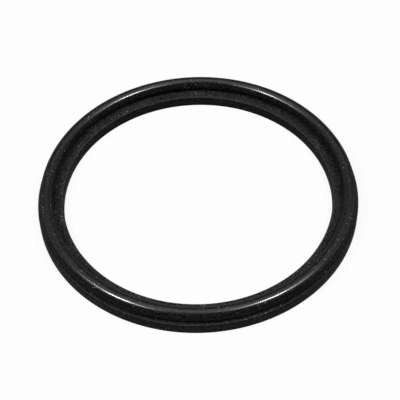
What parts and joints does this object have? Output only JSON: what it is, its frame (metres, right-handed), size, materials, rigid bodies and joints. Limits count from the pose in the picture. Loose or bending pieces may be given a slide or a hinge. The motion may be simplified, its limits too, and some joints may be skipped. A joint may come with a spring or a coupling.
{
  "type": "sealing ring",
  "caption": "Moulded black rubber sealing ring: a flat-bottomed band with softly rounded upper edges and one round sealing bead on its top face.",
  "frame": {"origin": "centre of the ring, on the plane of its flat base", "axes": "+Z along the ring's axis, from the flat base towards the bead"},
  "size_m": [0.063, 0.063, 0.0047],
  "materials": {
    "rubber": "semi-gloss moulded black rubber"
  },
  "bodies": {
    "root": {"seal_ring": "rubber"}
  },
  "joints": []
}
